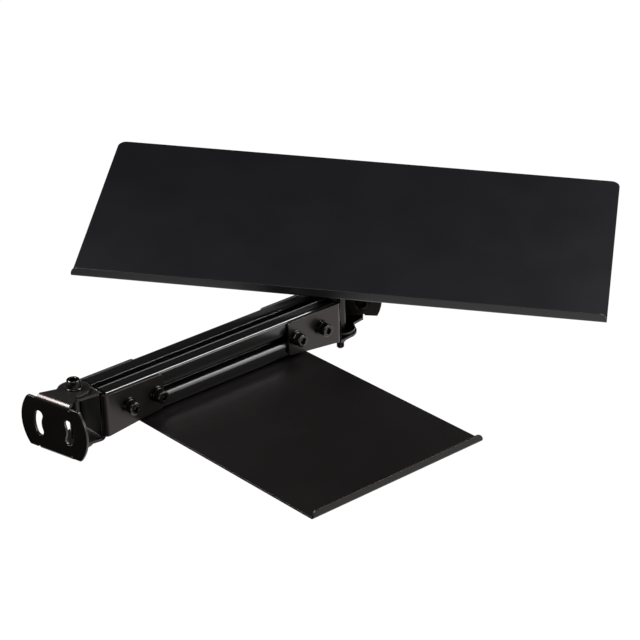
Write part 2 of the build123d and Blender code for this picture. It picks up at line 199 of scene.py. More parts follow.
# Arm: a 40 x 40 mm slotted extrusion, drawn through a die, sawn to length and anodised black. The
# slot's lips slope into its mouth. Its place comes from the two pivots of the frame.
pivots = {joint["name"]: Vector(joint["pos_m"]) for joint in frame["joints"] if "pos_m" in joint}
arm_line = pivots["tray_swivel"] - pivots["rig_swivel"]
arm_turn = math.atan2(arm_line.y, arm_line.x)
arm_frame = Matrix.Translation(pivots["rig_swivel"]) @ Matrix.Rotation(arm_turn, 4, "Z")
pivot_span = arm_line.length
plate = 3 * mm
web_to_pivot = 17.5 * mm
bend_inside = 2.5 * mm
hinge_drop = 3.4 * mm
profile_size = 40 * mm
profile_half = profile_size / 2
profile_start = web_to_pivot + plate + bend_inside
profile_length = pivot_span - 2 * profile_start
profile_frame = arm_frame @ Matrix.Translation((profile_start, 0, hinge_drop))


def rounded_outline(corners, step=math.radians(11.0)):
    """Points of a closed outline whose corners, given as (x, y, radius), are arcs."""
    points = []
    for index, (x, y, radius) in enumerate(corners):
        corner = Vector((x, y))
        before = (Vector(corners[index - 1][:2]) - corner).normalized()
        after = (Vector(corners[(index + 1) % len(corners)][:2]) - corner).normalized()
        opening = before.angle(after)
        if radius == 0 or opening > math.pi - flat_angle:
            points.append(corner)
            continue
        middle = corner + (before + after).normalized() * radius / math.sin(opening / 2)
        start = corner + before * radius / math.tan(opening / 2) - middle
        turn = math.pi - opening
        if start.x * after.y - start.y * after.x < 0:
            turn = -turn
        count = max(1, math.ceil(abs(turn) / step))
        for part in range(count + 1):
            points.append(middle + Matrix.Rotation(turn * part / count, 2) @ start)
    return points


def loops_mesh(name, loops):
    """Mesh of closed loops of edges in the XY plane."""
    shape = bmesh.new()
    for loop in loops:
        corners = [shape.verts.new((x, y, 0)) for x, y in loop]
        for index, corner in enumerate(corners):
            shape.edges.new((corners[index - 1], corner))
    mesh = bpy.data.meshes.new(name)
    shape.to_mesh(mesh)
    shape.free()
    return mesh


def circle(x, y, radius, count=32):
    """Points of a circle."""
    turns = [2 * math.pi * index / count for index in range(count)]
    return [(x + radius * math.cos(turn), y + radius * math.sin(turn)) for turn in turns]


def profile_loops():
    """Section of the extrusion: its outline with four slots, its core bore and its corner bores."""
    mouth = 8.2 * mm / 2
    slope = mouth + 3.8 * mm
    edge = profile_half - 1.0 * mm
    lip = profile_half - 4.5 * mm
    wall = lip - 2.0 * mm
    cavity = 20 * mm / 2
    floor = 9 * mm / 2
    corner_bore = 14.6 * mm
    bottom = wall - (cavity - floor)
    side = [(slope, profile_half, 1.2 * mm), (mouth, edge, 0.4 * mm), (mouth, lip, 0.3 * mm),
            (cavity, lip, 0.4 * mm), (cavity, wall, 0.5 * mm), (floor, bottom, 0.8 * mm)]
    side = side + [(-x, y, radius) for x, y, radius in reversed(side)]
    side.insert(0, (profile_half, profile_half, 3 * mm))
    corners = []
    for quarter in range(4):
        turn = Matrix.Rotation(math.pi / 2 * quarter, 2)
        corners += [(*(turn @ Vector((x, y))), radius) for x, y, radius in side]
    bores = [circle(0, 0, 3.4 * mm)]
    bores += [circle(side_way * corner_bore, rise_way * corner_bore, 2.2 * mm)
              for side_way in (-1, 1) for rise_way in (-1, 1)]
    return [rounded_outline(corners), *bores]


def new_tree(name, **inputs):
    """Empty Geometry Nodes tree with a geometry going in and out, and named inputs."""
    tree = bpy.data.node_groups.new(name, "GeometryNodeTree")
    tree.interface.new_socket("Geometry", in_out="INPUT", socket_type="NodeSocketGeometry")
    for title, kind in inputs.items():
        tree.interface.new_socket(title, in_out="INPUT", socket_type=f"NodeSocket{kind}")
    tree.interface.new_socket("Geometry", in_out="OUTPUT", socket_type="NodeSocketGeometry")
    return tree, tree.nodes.new("NodeGroupInput").outputs


def close_tree(tree, geometry, material):
    """End a tree with real geometry in its material."""
    real = add_node(tree, "GeometryNodeRealizeInstances", links={"Geometry": geometry})
    dressed = add_node(tree, "GeometryNodeSetMaterial",
                       links={"Geometry": real.outputs[0], "Material": material})
    add_node(tree, "NodeGroupOutput", links={"Geometry": dressed.outputs[0]})


def grow(piece, tree, **inputs):
    """Run a tree on a piece and keep what it makes as the piece's plain mesh."""
    modifier = piece.modifiers.new(tree.name, "NODES")
    modifier.node_group = tree
    for item in tree.interface.items_tree:
        if item.in_out == "INPUT" and item.name in inputs:
            modifier[item.identifier] = inputs[item.name]
    graph = bpy.context.evaluated_depsgraph_get()
    mesh = bpy.data.meshes.new_from_object(piece.evaluated_get(graph), preserve_all_data_layers=True,
                                           depsgraph=graph)
    piece.modifiers.remove(modifier)
    piece.data = mesh
    return piece


def drawn_bar_tree():
    """Fills closed loops in the XY plane and draws them out along +Z."""
    tree, given = new_tree("drawn_bar", Length="Float", Finish="Material")
    loops = add_node(tree, "GeometryNodeMeshToCurve", links={"Mesh": given["Geometry"]})
    section = add_node(tree, "GeometryNodeFillCurve", links={"Curve": loops.outputs[0]}, mode="TRIANGLES")
    bar = add_node(tree, "GeometryNodeExtrudeMesh", {"Individual": False},
                   {"Mesh": section.outputs[0], "Offset Scale": given["Length"]}, mode="FACES")
    near_end = add_node(tree, "GeometryNodeFlipFaces", links={"Mesh": section.outputs[0]})
    both = add_node(tree, "GeometryNodeJoinGeometry", links={"Geometry": bar.outputs["Mesh"]})
    tree.links.new(near_end.outputs[0], both.inputs["Geometry"])
    whole = add_node(tree, "GeometryNodeMergeByDistance", {"Distance": merge_distance},
                     {"Geometry": both.outputs[0]})
    close_tree(tree, whole.outputs[0], given["Finish"])
    return tree


def anodised_aluminium(name, turn):
    """Black anodised 6063 aluminium: a dyed oxide layer over drawn metal.

    It gives the eye a deep black with a silky sheen, stretched across the fine lines that the die
    leaves along the bar. Real die lines are about 0.05 mm apart and are drawn at 0.6 mm."""
    line_length = 160 * mm
    line_pitch = 0.6 * mm
    relief = 0.006 * mm
    material = bpy.data.materials.new(name)
    material.use_nodes = True
    tree = material.node_tree
    shader = tree.nodes["Principled BSDF"]
    shader.inputs["IOR"].default_value = 1.5
    shader.inputs["Specular IOR Level"].default_value = 0.9
    place = add_node(tree, "ShaderNodeTexCoord").outputs["Object"]
    along = add_node(tree, "ShaderNodeMapping",
                     {"Rotation": (0, 0, turn), "Scale": (line_length, line_pitch, line_pitch)},
                     {"Vector": place}, vector_type="TEXTURE")
    lines = add_node(tree, "ShaderNodeTexNoise", {"Scale": 1.0, "Detail": 2.0}, {"Vector": along.outputs[0]})
    bump = add_node(tree, "ShaderNodeBump", {"Distance": relief}, {"Height": lines.outputs["Fac"]})
    colour = add_node(tree, "ShaderNodeMix", {6: linear("#050505"), 7: linear("#0a0a0a")},
                      {0: lines.outputs["Fac"]}, data_type="RGBA")
    gloss = add_node(tree, "ShaderNodeMapRange", {3: 0.17, 4: 0.24}, {0: lines.outputs["Fac"]})
    tree.links.new(bump.outputs["Normal"], shader.inputs["Normal"])
    tree.links.new(colour.outputs[2], shader.inputs["Base Color"])
    tree.links.new(gloss.outputs[0], shader.inputs["Roughness"])
    return material


smooth_angle = math.radians(28.0)
black_anodised = anodised_aluminium("black_anodised_aluminium", arm_turn)
arm_bar = grow(piece_from(loops_mesh("arm_extrusion", profile_loops()), "arm_extrusion"),
               drawn_bar_tree(), Length=profile_length, Finish=black_anodised)
lay_along = Matrix(((0, 0, 1, 0), (1, 0, 0, 0), (0, 1, 0, 0), (0, 0, 0, 1)))
arm_bar.data.transform(profile_frame @ lay_along)
arm_bar.data.shade_smooth()
arm_bar.data.set_sharp_from_angle(angle=smooth_angle)
finish_piece(arm_bar, black_anodised, "arm", "anodised_aluminium", "arm_profile")

# Sleeves: a tube of ground steel, oiled black, stands on each pivot bolt between the inner pair of
# ears, so that the bolt can be tightened without pinching them. The arm's ears are the inner pair
# at the rig and the outer pair at the tray.
bolt_radius = 4.0 * mm
ear_gap = 0.3 * mm
arm_ear_outside = 51.4 * mm / 2
rig_ear_outside = arm_ear_outside + ear_gap + plate
tray_ear_outside = arm_ear_outside - plate - ear_gap
round_count = 96


def at(frame_matrix, x, y, z):
    """A point of a frame, in the object's own frame."""
    return frame_matrix @ Vector((x, y, z))


def toward(frame_matrix, x, y, z):
    """A direction of a frame, in the object's own frame."""
    return (frame_matrix.to_3x3() @ Vector((x, y, z))).normalized()


def turned_piece(name, rings, bored=False, count=round_count):
    """Piece turned round Z. A ring is a function of the angle that gives radius and height.

    The rings are joined in order. A bored piece joins its last ring to its first."""
    shape = bmesh.new()
    loops = []
    for ring in rings:
        loop = []
        for index in range(count):
            angle = 2 * math.pi * index / count
            radius, height = ring(angle)
            loop.append(shape.verts.new((radius * math.cos(angle), radius * math.sin(angle), height)))
        loops.append(loop)
    pairs = list(zip(loops, loops[1:]))
    if bored:
        pairs.append((loops[-1], loops[0]))
    else:
        shape.faces.new(loops[0])
        shape.faces.new(loops[-1])
    for low, high in pairs:
        for index in range(count):
            shape.faces.new((low[index - 1], low[index], high[index], high[index - 1]))
    bmesh.ops.recalc_face_normals(shape, faces=shape.faces[:])
    mesh = bpy.data.meshes.new(name)
    shape.to_mesh(mesh)
    shape.free()
    mesh.shade_smooth()
    mesh.set_sharp_from_angle(angle=smooth_angle)
    return bpy.data.objects.new(name, mesh)


def round_at(radius, height):
    """A plain ring."""
    return lambda angle: (radius, height)


def six_sided(across, height):
    """A hexagonal ring, given across its flats."""
    def ring(angle):
        return across / 2 / math.cos((angle + math.pi / 6) % (math.pi / 3) - math.pi / 6), height
    return ring


def bored_ring(name, outer, inner, bottom, top, edge):
    """Flat ring with small chamfers, such as a washer or a sleeve."""
    corners = [(inner + edge, bottom), (outer - edge, bottom), (outer, bottom + edge), (outer, top - edge),
               (outer - edge, top), (inner + edge, top), (inner, top - edge), (inner, bottom + edge)]
    return turned_piece(name, [round_at(radius, height) for radius, height in corners], bored=True)


def set_out_tree():
    """Stands a fastener on each point along the point's axis, turned by chance as tightened."""
    tree, given = new_tree("set_out", Fastener="Object", Turn="Float", Seed="Int", Finish="Material")
    axis = add_node(tree, "GeometryNodeInputNamedAttribute", {"Name": "axis"}, data_type="FLOAT_VECTOR")
    upright = add_node(tree, "FunctionNodeAlignRotationToVector", links={"Vector": axis.outputs[0]}, axis="Z")
    chance = add_node(tree, "FunctionNodeRandomValue", links={3: given["Turn"], 8: given["Seed"]},
                      data_type="FLOAT")
    spin = add_node(tree, "FunctionNodeAxisAngleToRotation", {"Axis": (0, 0, 1)},
                    {"Angle": chance.outputs[1]})
    stance = add_node(tree, "FunctionNodeRotateRotation",
                      links={0: upright.outputs[0], 1: spin.outputs[0]}, rotation_space="LOCAL")
    part = add_node(tree, "GeometryNodeObjectInfo", links={"Object": given["Fastener"]})
    spread = add_node(tree, "GeometryNodeInstanceOnPoints",
                      links={"Points": given["Geometry"], "Instance": part.outputs["Geometry"],
                             "Rotation": stance.outputs[0]})
    close_tree(tree, spread.outputs[0], given["Finish"])
    return tree


def set_out(name, fastener, seats, seed, material, body, slot, *nodes):
    """One piece of all the fasteners of a body, each at a seat given as (point, axis)."""
    mesh = bpy.data.meshes.new(name)
    mesh.from_pydata([point for point, axis in seats], [], [])
    axes = mesh.attributes.new("axis", "FLOAT_VECTOR", "POINT")
    for index, (point, axis) in enumerate(seats):
        axes.data[index].vector = axis
    piece = grow(piece_from(mesh, name), fastener_tree, Fastener=fastener, Turn=2 * math.pi, Seed=seed,
                 Finish=material)
    finish_piece(piece, material, body, slot, *nodes)


def blackened_steel(name, dark, light, roughness, mottle_mm):
    """Steel blackened in a hot salt bath and oiled: a thin oxide over bare metal.

    It gives the eye a dark mirror softened by the oil, lighter where the bath has left patches."""
    mottle = mottle_mm * mm
    gloss_spread = 0.07
    material = bpy.data.materials.new(name)
    material.use_nodes = True
    tree = material.node_tree
    shader = tree.nodes["Principled BSDF"]
    shader.inputs["Metallic"].default_value = 1.0
    place = add_node(tree, "ShaderNodeTexCoord").outputs["Object"]
    patches = add_node(tree, "ShaderNodeTexNoise", {"Scale": 1 / mottle, "Detail": 4.0}, {"Vector": place})
    colour = add_node(tree, "ShaderNodeMix", {6: linear(dark), 7: linear(light)},
                      {0: patches.outputs["Fac"]}, data_type="RGBA")
    gloss = add_node(tree, "ShaderNodeMapRange", {3: roughness - gloss_spread, 4: roughness + gloss_spread},
                     {0: patches.outputs["Fac"]})
    bump = add_node(tree, "ShaderNodeBump", {"Distance": 0.004 * mm}, {"Height": patches.outputs["Fac"]})
    tree.links.new(bump.outputs["Normal"], shader.inputs["Normal"])
    tree.links.new(colour.outputs[2], shader.inputs["Base Color"])
    tree.links.new(gloss.outputs[0], shader.inputs["Roughness"])
    return material


fastener_tree = set_out_tree()
pin_steel = blackened_steel("oiled_pin_steel", "#2e2c2a", "#3c3937", 0.3, 5)
far_frame = arm_frame @ Matrix.Translation((pivot_span, 0, 0))
up = Vector((0, 0, 1))
sleeve_stands = [("rig_pivot", "arm", pivots["rig_swivel"], arm_ear_outside - plate),
                 ("tray_pivot", "tray_pivot", pivots["tray_swivel"], tray_ear_outside - plate)]
sleeve_radius = 6.0 * mm
sleeve_bore = bolt_radius + 0.05 * mm
for pivot, body, point, half in sleeve_stands:
    sleeve = bored_ring(f"{pivot}_sleeve_pattern", sleeve_radius, sleeve_bore, -half, half, 0.4 * mm)
    set_out(f"{pivot}_tube", sleeve, [(point, up)], 1, pin_steel, body, "pin_steel", f"{pivot}_sleeve")

# Tray bracket: like the rig bracket, but low enough for its ears to turn between the arm's. Its
# plate carries the hanger, its frame turns with the tray on the far pivot, and reliefs lie beside
# its bends.
tray_swing = math.radians(-49.6)
bracket_frame = far_frame @ Matrix.Rotation(tray_swing, 4, "Z")
pivot_to_plate = 30.5 * mm
bend_start = tray_ear_outside - plate - bend_inside
tray_relief_height = 8 * mm
plate_frame = bracket_frame @ Matrix.Rotation(math.radians(90), 4, "Z")
tray_reliefs = relief_boxes(plate_frame, (pivot_to_plate - relief_depth, relief_near, bend_start),
                            (pivot_to_plate + relief_overrun, relief_far, bend_start + tray_relief_height))
finish_piece(softened("tray_bracket", "tray_bracket_plate", coat_edge, tray_reliefs), bracket_coat,
             "tray_pivot", "bracket_paint", "tray_bracket")

# Hanger: 4 mm plate behind the tray bracket, bent forward into a flange under the keyboard tray.
# Cut by laser, bent and powder coated. Two bolts in the arc slots set the tray level.
tray_level = math.radians(2.7)
keyboard_frame = bracket_frame @ Matrix.Rotation(tray_level, 4, "Y")
arc_slot_radius = 20 * mm
hanger_plate = 4 * mm
hanger_edge = 0.4 * mm
finish_piece(softened("tray_hanger", "tray_hanger_plate", hanger_edge), bracket_coat,
             "keyboard", "bracket_paint", "tray_hanger")

# Flat washers: punched from strip and blackened. One lies at each end of the pivot bolts and the
# hanger screws, under each leg screw, and above and below the mouse tray at each of its screws.
# Those that turn against the tray bracket stand a hair off its plate.
washer_thickness = 1.6 * mm
washer_bore = bolt_radius + 0.25 * mm
leg_outside = profile_half + plate
first_leg_screw = web_to_pivot + 27.7 * mm
leg_screw_pitch = 33.3 * mm
leg_screw_places = [first_leg_screw, first_leg_screw + leg_screw_pitch]
mouse_offset = -1.6 * mm
mouse_screw_pitch = 70 * mm
tray_sheet = 2 * mm
mouse_frame = profile_frame @ Matrix.Translation((profile_length / 2 + mouse_offset, 0, -profile_half))


def leg_seats(out):
    """Seats on both legs of both arm brackets, this far out from their faces."""
    ends = [(arm_frame, 1), (far_frame, -1)]
    return [(at(pivot, way * along, side * (leg_outside + out), hinge_drop), toward(pivot, 0, side, 0))
            for pivot, way in ends for side in (-1, 1) for along in leg_screw_places]


def mouse_seats(down):
    """Seats at the mouse tray's screws, this far below the extrusion."""
    return [(at(mouse_frame, index * mouse_screw_pitch, 0, -down), -up) for index in (-1, 0, 1)]


def hanger_seats(back):
    """Seats on the hanger screws, this far behind the tray pivot."""
    return [(at(keyboard_frame, side * arc_slot_radius, back, 0), toward(keyboard_frame, 0, -1, 0))
            for side in (-1, 1)]


washer_steel = blackened_steel("blackened_washer_steel", "#322f2e", "#403c3a", 0.26, 6)
washer = bored_ring("washer_pattern", 8 * mm, washer_bore, 0, washer_thickness, 0.25 * mm)
pivot_stacks = [("rig_pivot", "rig_mount", pivots["rig_swivel"], rig_ear_outside),
                ("tray_pivot", "arm", pivots["tray_swivel"], arm_ear_outside)]
for pivot, body, point, seat in pivot_stacks:
    set_out(f"{pivot}_flat_washers", washer, [(point + up * seat, up), (point - up * seat, -up)], 2,
            washer_steel, body, "fastener_steel", f"{pivot}_washers")
set_out("leg_flat_washers", washer, leg_seats(0), 3, washer_steel, "arm", "fastener_steel",
        "rig_end_washers", "tray_end_washers")
plate_inside = pivot_to_plate - plate
hanger_back = pivot_to_plate + hanger_plate
seat_gap = 0.02 * mm
# Darker copy of the screw steel, painted shade: the hanger's washers and screws sit in the keyboard tray's
# shadow.
painted_shade_steel = blackened_steel("painted_shade_black_steel", "#0d0c0c", "#151414", 0.36, 6)
set_out("hanger_flat_washers", washer,
        hanger_seats(plate_inside - seat_gap) + hanger_seats(hanger_back + washer_thickness), 4, painted_shade_steel,
        "keyboard", "fastener_steel", "hanger_washers")
set_out("mouse_flat_washers", washer, mouse_seats(0) + mouse_seats(washer_thickness + tray_sheet), 5,
        washer_steel, "mouse", "fastener_steel", "mouse_washers")

# Spring washers: one turn of square spring wire, wound, cut on the slant and blackened. One lies
# under the head of each leg screw.
spring_thickness = 2.0 * mm


def spring_washer(name):
    """Split ring of square wire, its two ends cut on the slant."""
    outer = 6.9 * mm
    edge = 0.3 * mm
    gap = 1.2 * mm / outer
    slant = 1.0 * mm / outer
    steps = 72
    section = [(outer, edge), (outer, spring_thickness - edge), (outer - edge, spring_thickness),
               (washer_bore + edge, spring_thickness), (washer_bore, spring_thickness - edge),
               (washer_bore, edge), (washer_bore + edge, 0), (outer - edge, 0)]
    shape = bmesh.new()
    loops = []
    for step in range(steps + 1):
        loop = []
        for radius, height in section:
            angle = gap / 2 + (2 * math.pi - gap) * step / steps + slant * (height / spring_thickness - 1 / 2)
            loop.append(shape.verts.new((radius * math.cos(angle), radius * math.sin(angle), height)))
        loops.append(loop)
    for low, high in zip(loops, loops[1:]):
        for index in range(len(section)):
            shape.faces.new((low[index - 1], low[index], high[index], high[index - 1]))
    shape.faces.new(loops[0])
    shape.faces.new(loops[-1])
    bmesh.ops.recalc_face_normals(shape, faces=shape.faces[:])
    mesh = bpy.data.meshes.new(name)
    shape.to_mesh(mesh)
    shape.free()
    mesh.shade_smooth()
    mesh.set_sharp_from_angle(angle=smooth_angle)
    return bpy.data.objects.new(name, mesh)


spring_ring = spring_washer("spring_washer_pattern")
set_out("leg_spring_washers", spring_ring, leg_seats(washer_thickness), 7, washer_steel, "arm",
        "fastener_steel", "rig_end_lock_washers", "tray_end_lock_washers")

# Socket head screws: M8, cold headed with a knurled head, rolled thread, blackened and oiled.
# The pivots take 75 mm and 70 mm ones, the arm brackets' legs 16 mm ones and the hanger 20 mm ones.
head_radius = 6.5 * mm
head_height = 8.0 * mm
thread_pitch = 1.25 * mm


def knurled(radius, height):
    """A ring of straight knurls, one to every two points."""
    depth = 0.22 * mm
    return lambda angle: (radius - depth * (1 + math.cos(angle * round_count / 2)) / 2, height)


def threaded(radius, height):
    """A ring of a screw thread."""
    depth = 0.6 * mm

    def ring(angle):
        turn = (height / thread_pitch - angle / (2 * math.pi)) % 1
        return radius - depth * abs(2 * turn - 1), height
    return ring


def screw_shank(radius, length, thread_length):
    """Rings of a pointed shank below Z = 0, threaded for this length from its tip."""
    tip = 1.0 * mm
    ring_pitch = thread_pitch / 6
    rings = [round_at(radius - tip, -length), round_at(radius - tip / 4, tip - length)]
    count = int((thread_length - tip) / ring_pitch)
    rings += [threaded(radius, tip - length + ring_pitch * index) for index in range(1, count)]
    return rings + [round_at(radius, tip - length + ring_pitch * count), round_at(radius, 0)]


def socket(across, top, depth, rim):
    """Rings of a hexagon socket with a countersunk rim and a drilled point."""
    return [round_at(rim, top), six_sided(across, top - 0.4 * mm), six_sided(across, top - depth),
            round_at(0.3 * mm, top - depth - 1.0 * mm)]


def socket_screw(name, length, thread_length):
    """Socket head screw: its head stands on Z = 0 and its shank points down."""
    rings = screw_shank(bolt_radius, length, thread_length)
    rings += [round_at(head_radius - 0.4 * mm, 0), round_at(head_radius, 0.4 * mm),
              knurled(head_radius, 0.9 * mm), knurled(head_radius, head_height - 1.6 * mm),
              round_at(head_radius, head_height - 1.3 * mm),
              round_at(head_radius - 0.14 * mm, head_height - 0.8 * mm),
              round_at(head_radius - 0.45 * mm, head_height - 0.38 * mm),
              round_at(head_radius - 0.88 * mm, head_height - 0.1 * mm),
              round_at(head_radius - 1.3 * mm, head_height)]
    return turned_piece(name, rings + socket(6 * mm, head_height, 4 * mm, 3.75 * mm))


screw_steel = blackened_steel("black_oxide_screw_steel", "#3c3a39", "#4a4846", 0.17, 4)
leg_screw = socket_screw("leg_screw_pattern", 16 * mm, 3 * mm)
plate_screw = socket_screw("plate_screw_pattern", 20 * mm, 6 * mm)
pivot_screw_lengths = {"rig_pivot": 75 * mm, "tray_pivot": 70 * mm}
for pivot, body, point, seat in pivot_stacks:
    pivot_screw = socket_screw(f"{pivot}_screw_pattern", pivot_screw_lengths[pivot], 22 * mm)
    set_out(f"{pivot}_screw", pivot_screw, [(point + up * (seat + washer_thickness), up)], 8, screw_steel,
            body, "fastener_steel", f"{pivot}_bolt")
set_out("leg_screws", leg_screw, leg_seats(washer_thickness + spring_thickness), 9, screw_steel, "arm",
        "fastener_steel", "rig_end_bolts", "tray_end_bolts")
# The hanger screws take the darker steel, which paints the tray's shadow on them.
set_out("hanger_screws", plate_screw, hanger_seats(plate_inside - washer_thickness - seat_gap), 10,
        painted_shade_steel, "keyboard", "fastener_steel", "hanger_bolts")

# Lock nuts: M8 hexagon nuts with a closed-in collar that grips the thread, blackened. One holds
# each pivot screw and each hanger screw.
nut_across = 13 * mm
nut_height = 6.5 * mm


def chamfered_side(across, top, way):
    """Edge of a hexagon where a cone cuts its corners: way is 1 at its top and -1 at its bottom."""
    flat_radius = across / 2 - 0.35 * mm
    slope = math.tan(math.radians(30.0))

    def ring(angle):
        radius = six_sided(across, 0)(angle)[0]
        return radius, top - way * (radius - flat_radius) * slope
    return ring


def lock_nut(name):
    """Hexagon nut with a collar, hanging below Z = 0."""
    bore = bolt_radius + 0.05 * mm
    face = nut_across / 2 - 0.35 * mm
    collar = 5.8 * mm
    bottom = -nut_height - 1.5 * mm
    rings = [round_at(bore + 0.4 * mm, 0), round_at(face, 0), chamfered_side(nut_across, 0, 1),
             chamfered_side(nut_across, -nut_height, -1), round_at(face, -nut_height),
             round_at(collar, -nut_height), round_at(collar, bottom + 0.7 * mm),
             round_at(collar - 0.25 * mm, bottom + 0.25 * mm), round_at(collar - 0.8 * mm, bottom),
             round_at(bore + 0.4 * mm, bottom), round_at(bore, bottom + 0.4 * mm), round_at(bore, -0.4 * mm)]
    return turned_piece(name, rings, bored=True)


nut = lock_nut("lock_nut_pattern")
for pivot, body, point, seat in pivot_stacks:
    set_out(f"{pivot}_lock_nut", nut, [(point - up * (seat + washer_thickness), up)], 11, screw_steel,
            body, "fastener_steel", f"{pivot}_nut")
set_out("hanger_lock_nuts", nut, hanger_seats(hanger_back + washer_thickness), 12, screw_steel, "keyboard",
        "fastener_steel", "hanger_nuts")

# Slot nuts: milled steel blocks, blackened, that slide in the extrusion's slots. The leg screws
# and the mouse tray's screws pull them up against the slot's lips.
nut_edge = 0.3 * mm
for node, name, body in (("rig_end_slot_nuts", "rig_end_slot_blocks", "arm"),
                         ("tray_end_slot_nuts", "tray_end_slot_blocks", "arm"),
                         ("mouse_slot_nuts", "mouse_slot_blocks", "mouse")):
    finish_piece(softened(node, name, nut_edge), washer_steel, body, "fastener_steel", node)

# Keyboard tray: 2 mm sheet steel, cut by laser, its front edge folded up to a lip and its four
# corners rounded. Powder coated matte black. Four studs are welded to its underside.
tray_length = 539 * mm
tray_depth = 231 * mm
tray_lip = 11.5 * mm
tray_slope = math.radians(14.0)
tray_front_ahead = 46.3 * mm
tray_front_above = 33.4 * mm
tray_offset = 1.0 * mm
fold_radius = 3 * mm
tray_edge = 0.4 * mm


def folded_sheet(name, length, depth, lip, lip_radius, rear_radius, place, holes=()):
    """Sheet with its front edge folded up: the fold's outside lies on Y = 0 and Z = 0."""
    half = length / 2
    fold_steps = 8
    corner_steps = 10

    def half_width(height):
        rise = height - (lip - lip_radius)
        if rise <= 0:
            return half
        return half - lip_radius + math.sqrt(max(0, lip_radius ** 2 - rise ** 2))

    line = []
    for step in range(fold_steps + 1):
        angle = math.pi / 2 * step / fold_steps
        line.append((fold_radius - fold_radius * math.sin(angle),
                     fold_radius - fold_radius * math.cos(angle)))
    start = max(0, math.asin(max(0, (fold_radius - lip + lip_radius) / lip_radius)))
    for step in range(corner_steps + 1):
        angle = start + (math.pi / 2 - start) * step / corner_steps
        height = lip - lip_radius + lip_radius * math.sin(angle)
        if height > fold_radius + merge_distance:
            line.append((0, height))

    shape = bmesh.new()
    rows = [[shape.verts.new((side * half_width(z), y, z)) for side in (-1, 1)] for y, z in line]
    for low, high in zip(rows, rows[1:]):
        shape.faces.new((low[0], low[1], high[1], high[0]))
    outline = rounded_outline([(half, fold_radius, 0), (half, depth, rear_radius),
                               (-half, depth, rear_radius), (-half, fold_radius, 0)])
    edges = []
    for loop in [outline, *[circle(x, y, radius) for x, y, radius in holes]]:
        corners = [shape.verts.new((x, y, 0)) for x, y in loop]
        edges += [shape.edges.new((corners[index - 1], corner)) for index, corner in enumerate(corners)]
    bmesh.ops.triangle_fill(shape, use_beauty=True, edges=edges)
    bmesh.ops.remove_doubles(shape, verts=shape.verts[:], dist=merge_distance)
    bmesh.ops.dissolve_limit(shape, angle_limit=flat_angle, verts=shape.verts[:], edges=shape.edges[:])
    bmesh.ops.recalc_face_normals(shape, faces=shape.faces[:])
    if sum(face.normal.z * face.calc_area() for face in shape.faces) > 0:
        bmesh.ops.reverse_faces(shape, faces=shape.faces[:])
    mesh = bpy.data.meshes.new(name)
    shape.to_mesh(mesh)
    shape.free()
    mesh.transform(place)
    piece = piece_from(mesh, name)
    sheet = piece.modifiers.new("sheet", "SOLIDIFY")
    sheet.thickness = tray_sheet
    sheet.offset = -1.0
    sheet.use_even_offset = True
    round_edges(piece, tray_edge)
    return piece


tray_plane = keyboard_frame @ Matrix.Translation((0, -tray_front_ahead, tray_front_above))
tray_plane = tray_plane @ Matrix.Rotation(tray_slope, 4, "X")
tray_coat = powder_coat("tray_powder_coat", "#0b0b0e", "#101014", "#fdf8f6", 0.38, 0.5)
keyboard_sheet = folded_sheet("keyboard_tray_sheet", tray_length, tray_depth, tray_lip, 8 * mm, 9 * mm,
                              tray_plane @ Matrix.Translation((tray_offset, 0, 0)))
finish_piece(keyboard_sheet, tray_coat, "keyboard", "tray_paint", "keyboard_tray")

# Tray studs: four M5 studs welded to the tray's underside, each with a washer and a nut that
# hold the tray to the hanger's flange.
stud_radius = 2.5 * mm
stud_length = 14 * mm
stud_inset = 14 * mm
flange_width = 150 * mm
flange_depth = 104 * mm
stud_washer_thickness = 1.0 * mm
stud_nut_height = 4.0 * mm


def stud_seats(down):
    """Seats on the four studs, this far below the tray's underside, along its normal."""
    start = (tray_front_ahead + pivot_to_plate) / math.cos(tray_slope)
    rows = (start + 2 * stud_inset, start + flange_depth - stud_inset)
    across = flange_width / 2 - stud_inset
    return [(at(tray_plane, side * across, row, -down), toward(tray_plane, 0, 0, 1))
            for side in (-1, 1) for row in rows]


def stud_nut_pattern(name):
    """Small hexagon nut standing on Z = 0."""
    across = 8 * mm
    bore = stud_radius + 0.05 * mm
    face = across / 2 - 0.35 * mm
    rings = [round_at(bore + 0.3 * mm, 0), round_at(face, 0), chamfered_side(across, 0, -1),
             chamfered_side(across, stud_nut_height, 1), round_at(face, stud_nut_height),
             round_at(bore + 0.3 * mm, stud_nut_height), round_at(bore, stud_nut_height - 0.3 * mm),
             round_at(bore, 0.3 * mm)]
    return turned_piece(name, rings, bored=True)


stud = turned_piece("stud_pattern", screw_shank(stud_radius, stud_length, 11 * mm))
stud_washer = bored_ring("stud_washer_pattern", 5 * mm, stud_radius + 0.25 * mm, 0,
                         stud_washer_thickness, 0.2 * mm)
set_out("tray_weld_studs", stud, stud_seats(0), 13, screw_steel, "keyboard", "fastener_steel", "tray_studs")
set_out("tray_stud_flat_washers", stud_washer, stud_seats(hanger_plate + stud_washer_thickness), 14,
        washer_steel, "keyboard", "fastener_steel", "tray_stud_washers")
set_out("tray_stud_hex_nuts", stud_nut_pattern("stud_nut_pattern"),
        stud_seats(hanger_plate + stud_washer_thickness + stud_nut_height), 15, screw_steel, "keyboard",
        "fastener_steel", "tray_stud_nuts")

